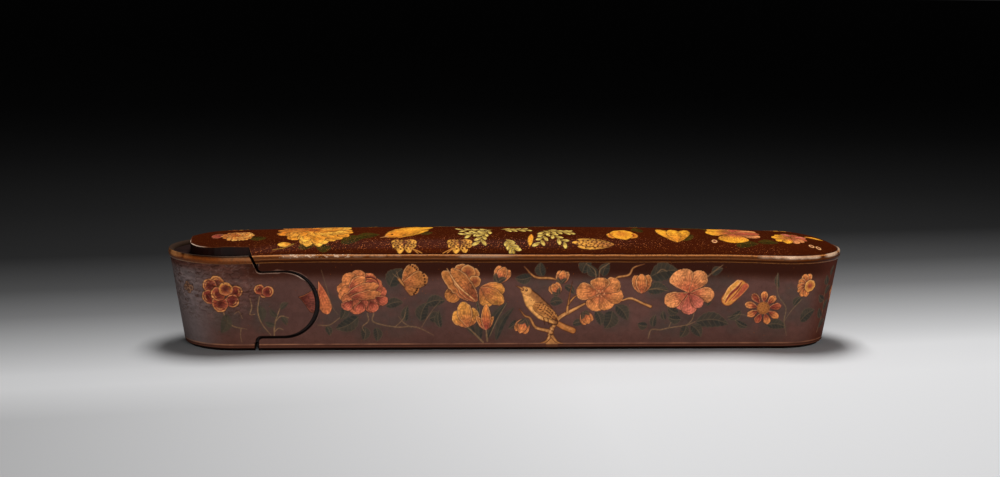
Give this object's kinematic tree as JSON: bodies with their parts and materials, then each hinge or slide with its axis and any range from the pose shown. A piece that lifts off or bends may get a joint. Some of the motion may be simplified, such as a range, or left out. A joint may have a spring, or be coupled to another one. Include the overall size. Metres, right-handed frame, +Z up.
{
  "type": "qalamdan pen box",
  "caption": "Lacquered papier-mache pen box: a flared sleeve with a domed top and a sliding drawer that carries an inkwell with a hinged lid and writing tools.",
  "frame": {"origin": "middle of the flat base, on the surface the box rests on", "axes": "+X along the length towards the closed end, +Z up, -Y is the front; the drawer pulls out along -X"},
  "size_m": [0.236, 0.0454, 0.0398],
  "materials": {
    "lacquered_shell": "painted and varnished papier-mache, glossy",
    "gilded_bead": "brown lacquer with gold lines, worn",
    "worn_bead": "orange-brown lacquer, rubbed smooth",
    "red_trough": "red lacquered papier-mache, satin",
    "inkwell_brass": "aged brass, satin",
    "reed": "polished reed",
    "bone": "polished bone",
    "blade_steel": "ground steel"
  },
  "bodies": {
    "sleeve": {"sleeve_shell": "lacquered_shell", "sleeve_rim_bead": "gilded_bead"},
    "drawer": {"drawer_head": "lacquered_shell", "head_rim_bead": "worn_bead", "drawer_trough": "red_trough", "ink_partition": "red_trough", "inkwell_pot": "inkwell_brass", "inkwell_top": "inkwell_brass", "inkwell_hinge_pin": "inkwell_brass", "reed_pen_1": "reed", "reed_pen_2": "reed", "reed_pen_3": "reed", "penknife_handle": "bone", "penknife_ferrule": "inkwell_brass", "penknife_blade": "blade_steel", "nib_bar": "bone", "ink_spoon": "inkwell_brass"},
    "lid": {"inkwell_lid": "inkwell_brass", "lid_knob": "inkwell_brass"}
  },
  "joints": [
    {"name": "drawer_slide", "type": "slide", "parent": "sleeve", "child": "drawer", "axis": [-1, 0, 0], "range_m": [0, 0.165]},
    {"name": "lid_hinge", "type": "hinge", "parent": "drawer", "child": "lid", "pos_m": [-0.0776, 0, 0.0193], "axis": [0, -1, 0], "range_deg": [0, 95]}
  ]
}
